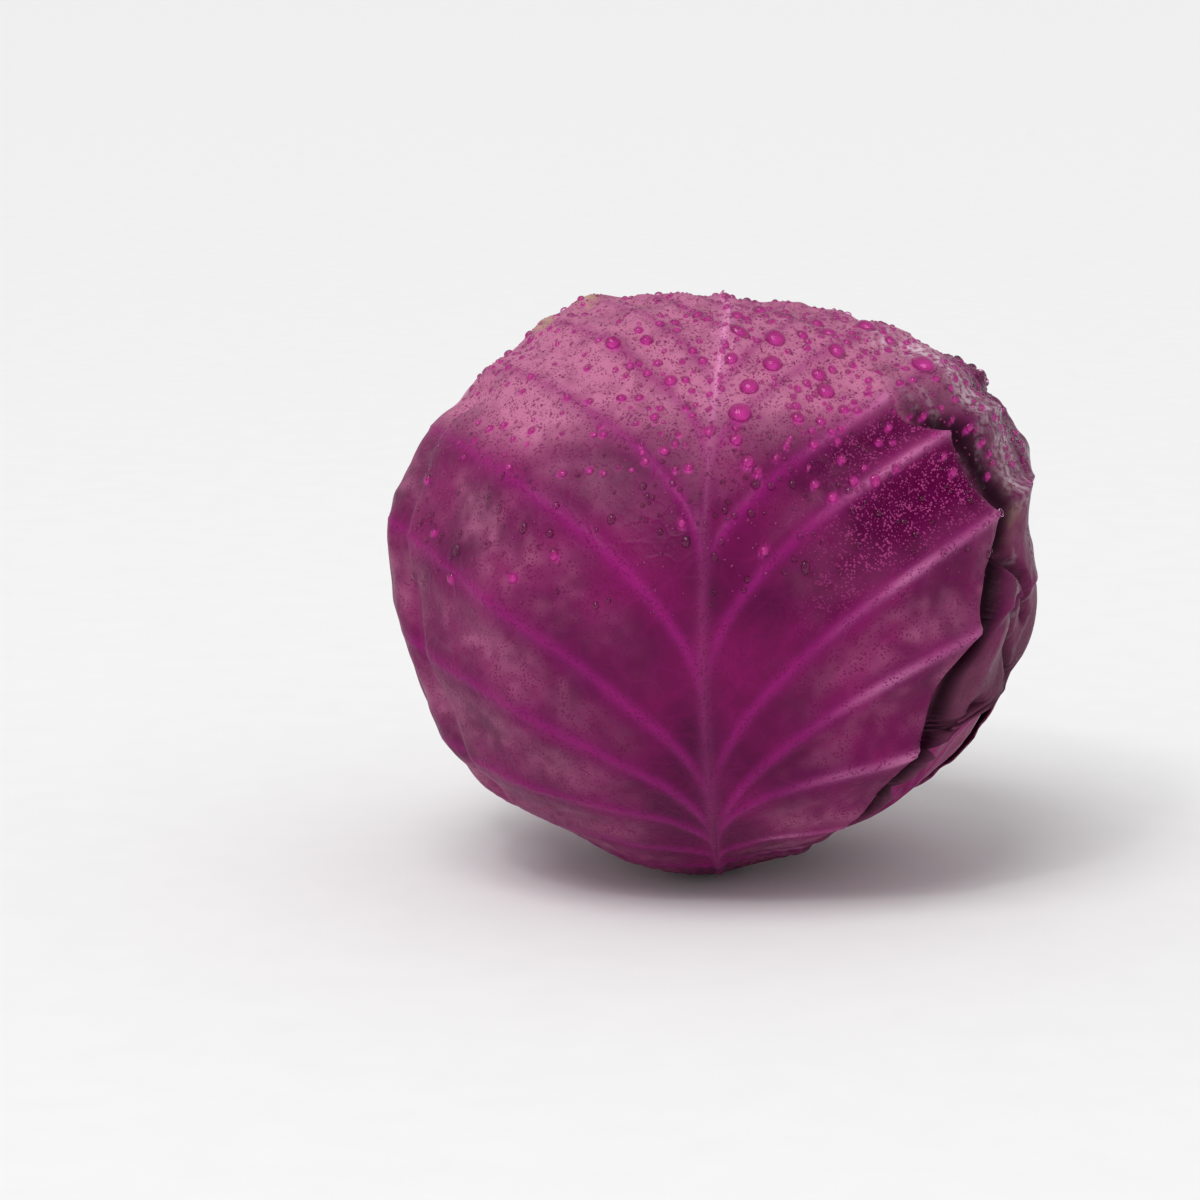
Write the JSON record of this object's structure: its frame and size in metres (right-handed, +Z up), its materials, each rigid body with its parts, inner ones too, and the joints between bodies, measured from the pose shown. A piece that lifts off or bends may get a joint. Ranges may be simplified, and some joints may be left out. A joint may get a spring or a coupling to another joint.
{
  "type": "red cabbage",
  "caption": "Whole head of red cabbage: a dense round heart wrapped in large overlapping veined leaves, standing on its cut stem.",
  "frame": {"origin": "middle of the flat cut of the stem, which is also the lowest plane that the head rests on", "axes": "+Z up through the head; -Y is the side that the outermost leaf's midrib runs up; +X is that leaf's right, seen from outside"},
  "size_m": [0.1662, 0.1672, 0.1491],
  "materials": {
    "leaf_skin": "waxy purple leaf skin with a greyish pink bloom and raised magenta veins",
    "heart_leaves": "smooth glossy magenta inner leaf",
    "cut_stem": "cream cut stem, matt, browning at its edge"
  },
  "bodies": {
    "root": {"heart": "heart_leaves", "stem": "cut_stem", "wrapper_leaf_front": "leaf_skin", "wrapper_leaf_right_back": "leaf_skin", "wrapper_leaf_left": "leaf_skin", "wrapper_leaf_right_front": "leaf_skin", "wrapper_leaf_back": "leaf_skin", "wrapper_leaf_left_front": "leaf_skin"}
  },
  "joints": []
}
